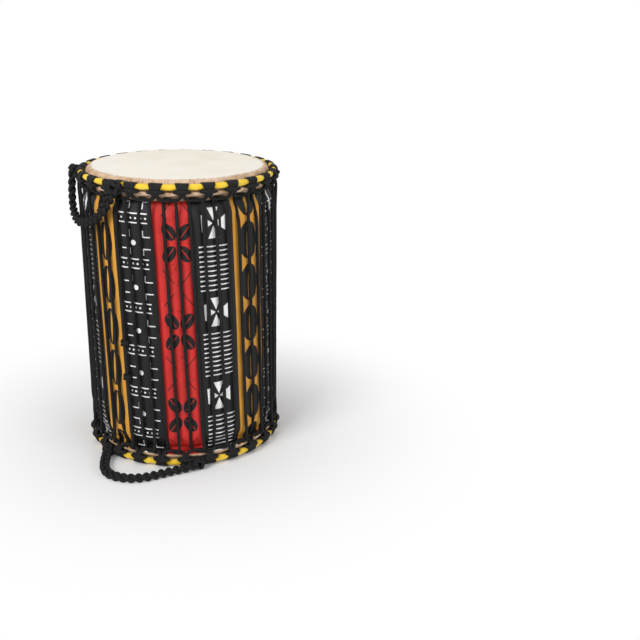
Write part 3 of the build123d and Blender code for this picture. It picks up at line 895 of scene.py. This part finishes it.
stir = add(copies_tree, "ShaderNodeVectorMath", {0: stir, 1: (-0.5, -0.5, -0.5)}, operation="ADD").outputs[0]
stir = add(copies_tree, "ShaderNodeVectorMath", {
    0: stir, "Scale": copies_in["Unevenness"]}, operation="SCALE").outputs[0]
copies = add(copies_tree, "GeometryNodeSetPosition", {"Geometry": copies, "Offset": stir}).outputs[0]
copies = add(copies_tree, "GeometryNodeSetMaterial", {
    "Geometry": copies, "Material": copies_in["Finish"]}).outputs[0]
copies_tree.links.new(copies, add(copies_tree, "NodeGroupOutput").inputs[0])


def copied_rope(name, end, copied_mesh, start, unevenness):
    """Rope of copies round the drum, from one mesh of the upper end, which is mirrored for the lower end."""
    if end == "bottom":
        mirror = Matrix.Translation((0.0, 0.0, drum_height * MM)) @ Matrix.Diagonal((1.0, 1.0, -1.0, 1.0))
        copied_mesh.transform(mirror)
        copied_mesh.flip_normals()
    made = through_nodes(f"{name}_copies", copied_mesh, copies_tree, {
        "Count": hitch_count, "Start": start, "Unevenness": unevenness, "Finish": rope_finish})
    return new_piece(name, made, rope_finish)


for end, phase in (("top", hitch_phase), ("bottom", low_phase)):
    hitch_mesh = rope_mesh(f"{end}_hitch", [hitch_run()], capped=False)
    ring_rope_piece = copied_rope(f"{end}_hitched_rope", end, hitch_mesh, radians(phase), ring_unevenness)
    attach(ring_rope_piece, f"{end}_ring")
    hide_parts(f"{end}_ring_rope")


# Lacing: one long braided rope, hooked over each upper loop and under each lower loop in turn, from behind.
# It is made in an upper and a lower half.
hook = 3.8
hook_back, hook_front, strand_circle = 118.9, 126.94, 125.94
back_bend, front_bend = 345.1, 321.7           # heights between which a strand comes out from behind its loop
strand_stops = (235.0, 285.0)                  # heights on the straight part of a strand
back_ease, front_ease = 0.4, 6.0               # how a strand eases into its bends
hook_press, strand_tilt, lacing_unevenness = 0.6, 0.3, 0.0005
strand_angle = strand_pitch / 2
upper_gap, lower_gap = hitch_phase + gap_half, hitch_phase + lacing_lean
middle_height = drum_height / 2


def lacing_run(first_angle, second_angle, lean):
    """Run over one upper loop, from the middle of one strand up behind it and down to that of the next."""
    rows = [(first_angle, strand_circle, z) for z in (middle_height, *strand_stops, front_bend - front_ease)]
    rows += [(first_angle, (strand_circle + hook_back) / 2, (front_bend + back_bend) / 2),
             (first_angle, hook_back + back_ease, back_bend), (first_angle, hook_back, hook_high - hook)]
    for turn_share, out_share, rise in (
            (0.06, 0.02, -0.1), (0.22, 0.14, 0.12), (0.5, 0.5, 0.24), (0.78, 0.86, 0.12), (0.94, 0.98, -0.1)):
        rows.append((first_angle + (second_angle - first_angle) * turn_share,
                     hook_back + (hook_front - hook_back) * out_share, hook_high + hook * rise))
    rows += [(second_angle, hook_front, hook_high - hook)]
    rows += [(second_angle, strand_circle, z) for z in (front_bend, *strand_stops[::-1], middle_height)]
    angle, radius, height = np.array(rows).T
    line = through_points(on_drum(angle + lean_at(height, lean), radius, height))
    facing = np.stack([line[:, 0], line[:, 1], np.full(len(line), strand_tilt)], axis=-1)
    pressed = rope_radius - hook_press * smooth((line[:, 2] / MM - back_bend) / (hook_high - back_bend))
    return line, facing, pressed, pressed


for end, gap, lean, ring_level in (("top", upper_gap, lacing_lean, hook_high - 2 * hook),
                                   ("bottom", lower_gap, -lacing_lean, drum_height - hook_high + 2 * hook)):
    strand_mesh = rope_mesh(f"{end}_strand", [lacing_run(gap - strand_angle, gap + strand_angle, lean)])
    lacing_piece = copied_rope(f"{end}_lacing", end, strand_mesh, 0.0, lacing_unevenness)
    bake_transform(lacing_piece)
    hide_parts("tension_rope")


# Tuning knots: the lacing's loose end, drawn tight round one strand in two half hitches.
# Each knot is two turns, a crossing turn over them, and a short end that stands out.
tuning_angle, tuning_heights = upper_gap - 3 * hitch_pitch - strand_angle, (122.0, 168.0)
tuning_ring, tuning_rope, tuning_turns = 3.8, 1.75, 2.6
turns_share, crossing_share = 0.62, 0.38       # of the knot's length
turns_half, crossing_drop, crossing_out = 3.0, 5.0, 0.9
tail_stops, tail_out, tail_drop = (1.5, 3.0, 5.0), 0.4, 0.3
tuning_points = 61


def strand_place(angle, height):
    """Point on a strand, and the way that it runs."""
    back_low = drum_height - front_bend
    low, high = (on_drum(angle + lean_at(z), strand_circle, z) for z in (back_low, front_bend))
    share = (height - back_low) / (front_bend - back_low)
    return low + (high - low) * share, (high - low) / np.linalg.norm(high - low)


tuning_runs = []
for height in tuning_heights:
    middle, way = strand_place(tuning_angle, height)
    outward = np.array([middle[0], middle[1], 0.0]) / np.hypot(middle[0], middle[1])
    outward -= way * (outward @ way)
    sideways = np.cross(way, outward)
    t = np.linspace(0.0, 1.0, tuning_points)
    turns = tau * tuning_turns * t
    crossing = (t - turns_share) / crossing_share
    out_by = tuning_ring + crossing_out * np.sin(pi * smooth(crossing)) * (t > turns_share)
    rise = np.where(t < turns_share, -turns_half + 2 * turns_half * t / turns_share,
                    turns_half - crossing_drop * crossing)
    knot_line = middle + (outward * (np.cos(turns) * out_by)[:, None]
                          + sideways * (np.sin(turns) * out_by)[:, None] + way * rise[:, None]) * MM
    tail_way = knot_line[-1] - knot_line[-2]
    tail_way = tail_way / np.linalg.norm(tail_way) + outward * tail_out - way * tail_drop
    tail = [knot_line[-1] + tail_way * stop * MM for stop in tail_stops]
    knot_line = np.concatenate([knot_line, tail])
    facing = knot_line - middle - way * ((knot_line - middle) @ way)[:, None] + 1e-6
    full = np.full(len(knot_line), tuning_rope)
    tuning_runs.append((knot_line, facing, full, full))
tuning_piece = new_piece("tuning_knots_tied", rope_mesh("tuning_knots_tied", tuning_runs), rope_finish)
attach(tuning_piece, "drum")
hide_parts("tuning_knots")


# Carrying loops: three ropes plaited together, tied to a ring in two of the gaps between hitches.
# The upper loop hangs against the lacing, and the lower one lies out on the floor.
plait_length, plait_wide, plait_deep, plait_rope, plait_step = 30.0, 4.1, 2.5, 2.45, 0.0009
upper_route = [(-34.6, 134.25, 363.0), (-36.2, 135.05, 356.0), (-38.6, 135.25, 347.5), (-41.2, 135.45, 338.5),
               (-44.8, 135.65, 329.5), (-49.8, 135.85, 321.5), (-56.0, 136.05, 316.0), (-63.0, 136.25, 313.8),
               (-70.2, 136.05, 315.6), (-76.6, 135.85, 320.6), (-81.8, 135.65, 328.6), (-85.6, 135.45, 338.0),
               (-88.0, 135.25, 347.5), (-90.0, 135.05, 356.0), (-91.6, 134.25, 363.0)]
lower_route = [(-50.77, 135.25, 8.4), (-48.48, 141.25, 7.4), (-45.93, 148.35, 6.2), (-43.01, 156.85, 5.5),
               (-39.85, 165.05, 5.4), (-36.21, 171.95, 5.4), (-32.14, 175.05, 5.4), (-27.68, 174.65, 5.4),
               (-23.06, 171.35, 5.4), (-18.62, 164.65, 5.4), (-14.32, 155.85, 5.4), (-9.77, 147.55, 5.4),
               (-4.68, 141.35, 5.6), (0.42, 138.25, 6.6), (4.91, 134.75, 8.2)]
upper_knots = ((upper_gap - 3 * hitch_pitch, 365.4, 7.3), (upper_gap - 7 * hitch_pitch, 366.3, 6.4))
lower_knots = ((lower_gap - 4 * hitch_pitch, 8.9, 6.5), (lower_gap, 8.9, 6.5))
knot_centre, knot_rope, knot_lift = 132.3, 2.2, radians(47.0)
knot_rounds, knot_waves, knot_weave, knot_shift = 3, 4, 0.75, 0.3
tie_width, tie_half, tie_turns, tie_start = 5.5, 2.6, 2.0, -0.6
knot_points, tie_points = 151, 49


def smooth_line(name, route):
    """Points down the middle of a carrying loop, from the smooth curve that its route controls."""
    curve = bpy.data.curves.new(name, "CURVE")
    curve.dimensions = "3D"
    curve.resolution_u = 16
    spline = curve.splines.new("NURBS")
    spline.points.add(len(route) - 1)
    for point, place in zip(spline.points, on_drum(*np.array(route).T)):
        point.co = (*place, 1.0)
    spline.order_u = 3
    spline.use_endpoint_u = True
    holder = bpy.data.objects.new(name, curve)
    mesh = bpy.data.meshes.new_from_object(holder)
    line = np.array([v.co for v in mesh.vertices])
    bpy.data.objects.remove(holder)
    return line


def plait_runs(line, flat_way):
    """Runs of the three ropes of a plait along a line, whose flat side faces a given way at each point."""
    along = distance_along(line)
    at = np.linspace(0, along[-1], round(along[-1] / plait_step) + 1)
    line = np.stack([np.interp(at, along, line[:, k]) for k in range(3)], axis=-1)
    way = unit(np.gradient(line, axis=0))
    face = square_to(flat_way(line), way)
    beside = np.cross(way, face)
    full = np.full(len(at), plait_rope)
    runs = []
    for k in range(3):
        t = tau * (at / MM / plait_length + k / 3)
        aside = beside * (plait_wide * np.sin(t))[:, None] + face * (plait_deep * np.sin(2 * t))[:, None]
        runs.append((line + aside * MM, face, full, full))
    return runs


def knot_runs(angle, ring_height, ball_height, knot_ball, seed):
    """Runs of one knot: a woven ball of rope, and two turns of rope under it round the crown ring."""
    outward, upright = on_drum(angle, 1.0, 0.0) / MM, np.array([0.0, 0.0, 1.0])
    sideways = np.cross(upright, outward)
    centre = on_drum(angle, knot_centre, ball_height)
    t = np.linspace(0.0, tau, knot_points) + knot_shift * seed
    lift, about = knot_lift * np.sin(knot_waves * t), knot_rounds * t
    ball = knot_ball + knot_weave * np.sin(2 * knot_waves * t)
    weave_line = centre + (outward * (ball * np.sin(lift))[:, None]
                           + sideways * (ball * np.cos(lift) * np.cos(about))[:, None]
                           + upright * (ball * np.cos(lift) * np.sin(about))[:, None]) * MM
    t = np.linspace(0.0, 1.0, tie_points)
    slope, along = tau * tie_turns * t + tie_start, tie_width * (t - 0.5)
    tie_line = round_crown(angle + np.degrees(along / crown_circle), slope, turn_middle, ring_height)
    tie_facing = outward * np.cos(slope)[:, None] + upright * np.sin(slope)[:, None]
    full = np.full(len(weave_line), knot_rope)
    return [(weave_line, weave_line - centre, full, full),
            (tie_line, tie_facing, np.full(tie_points, tie_half), np.full(tie_points, turn_half))]


for end, route, ring_height, knots, lay in (
        ("top", upper_route, crown_height, upper_knots, "hanging"),
        ("bottom", lower_route, drum_height - crown_height, lower_knots, "loose")):
    loop_line = smooth_line(f"{end}_carrying_loop", route)
    if end == "top":
        runs = plait_runs(loop_line, lambda line: line * (1.0, 1.0, 0.0))
    else:
        runs = plait_runs(loop_line, lambda line: np.broadcast_to((0.0, 0.0, 1.0), line.shape))
    loop_piece = new_piece(f"{end}_carrying_loop", rope_mesh(f"{end}_carrying_loop", runs), rope_finish)
    tied = [run for k, (angle, ball_height, knot_ball) in enumerate(knots)
            for run in knot_runs(angle, ring_height, ball_height, knot_ball, k)]
    knot_piece = new_piece(f"{end}_loop_knots", rope_mesh(f"{end}_loop_knots", tied), rope_finish)
    if end == "top":
        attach(loop_piece, "top_ring")
    else:
        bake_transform(loop_piece)
    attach(knot_piece, f"{end}_ring")
    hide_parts(f"{end}_handle")
    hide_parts(f"{end}_handle_knots")
    tuple(on_drum(*route[0]))


# Studio: a plain white floor that runs out into a white surround, and broad soft lamps.
# The floor keeps the drum's shadow near it and goes to white away from it.
floor_half, floor_white = 3.0, (0.94, 0.94, 0.945, 1.0)
shadow_near, shadow_far = 0.06, 0.44           # metres between which the floor goes white
studio_white, sky_light = (1.0, 1.0, 1.0, 1.0), 0.28
lamp_aim = Vector((0.0, 0.0, 0.2))


def seen_share(tree):
    """1 for what is seen directly, in a reflection or through something, and 0 for light on other things."""
    seen = add(tree, "ShaderNodeLightPath").outputs
    plain = calc(tree, "ADD", seen["Is Camera Ray"], seen["Is Glossy Ray"])
    return calc(tree, "ADD", plain, seen["Is Transmission Ray"], clamp=True)


floor_mesh = bpy.data.meshes.new("studio_floor")
floor_corners = [(x * floor_half, y * floor_half, 0.0) for x, y in ((-1, -1), (1, -1), (1, 1), (-1, 1))]
floor_mesh.from_pydata(floor_corners, [], [(0, 1, 2, 3)])
floor_finish, floor, floor_shader = new_finish("white_floor", {
    "Base Color": floor_white, "Roughness": 0.9, "Specular IOR Level": 0.1})
floor_away = length_of(floor, object_place(floor))
floor_glow = add(floor, "ShaderNodeEmission", {"Color": studio_white, "Strength": 1.0}).outputs[0]
floor_share = add(floor, "ShaderNodeMapRange", {
    "Value": floor_away, "From Min": shadow_near, "From Max": shadow_far},
    interpolation_type="SMOOTHSTEP").outputs[0]
floor_mix = add(floor, "ShaderNodeMixShader", {
    0: calc(floor, "MULTIPLY", floor_share, seen_share(floor)),
    1: floor_shader.outputs[0], 2: floor_glow}).outputs[0]
floor.links.new(floor_mix, floor.nodes["Material Output"].inputs["Surface"])
new_piece("studio_floor", floor_mesh, floor_finish)

world = bpy.data.worlds.new("studio_world")
bpy.context.scene.world = world
world.use_nodes = True
sky = world.node_tree
sky_strength = scaled(sky, seen_share(sky), by=1.0 - sky_light, plus=sky_light)
sky.links.new(sky_strength, sky.nodes["Background"].inputs["Strength"])
sky.nodes["Background"].inputs["Color"].default_value = studio_white

for lamp_name, lamp_place, lamp_size, lamp_watts in (
        ("key_softbox", (-1.5, -1.7, 1.75), 1.2, 49.0),
        ("fill_softbox", (2.0, -2.0, 1.0), 1.8, 28.0),
        ("top_softbox", (0.2, 0.5, 2.4), 1.8, 13.0)):
    lamp_data = bpy.data.lights.new(lamp_name, "AREA")
    lamp_data.shape, lamp_data.size, lamp_data.energy = "SQUARE", lamp_size, lamp_watts
    lamp = bpy.data.objects.new(lamp_name, lamp_data)
    lamp.location = lamp_place
    lamp.rotation_euler = (lamp_aim - Vector(lamp_place)).to_track_quat("-Z", "Y").to_euler()
    bpy.context.collection.objects.link(lamp)
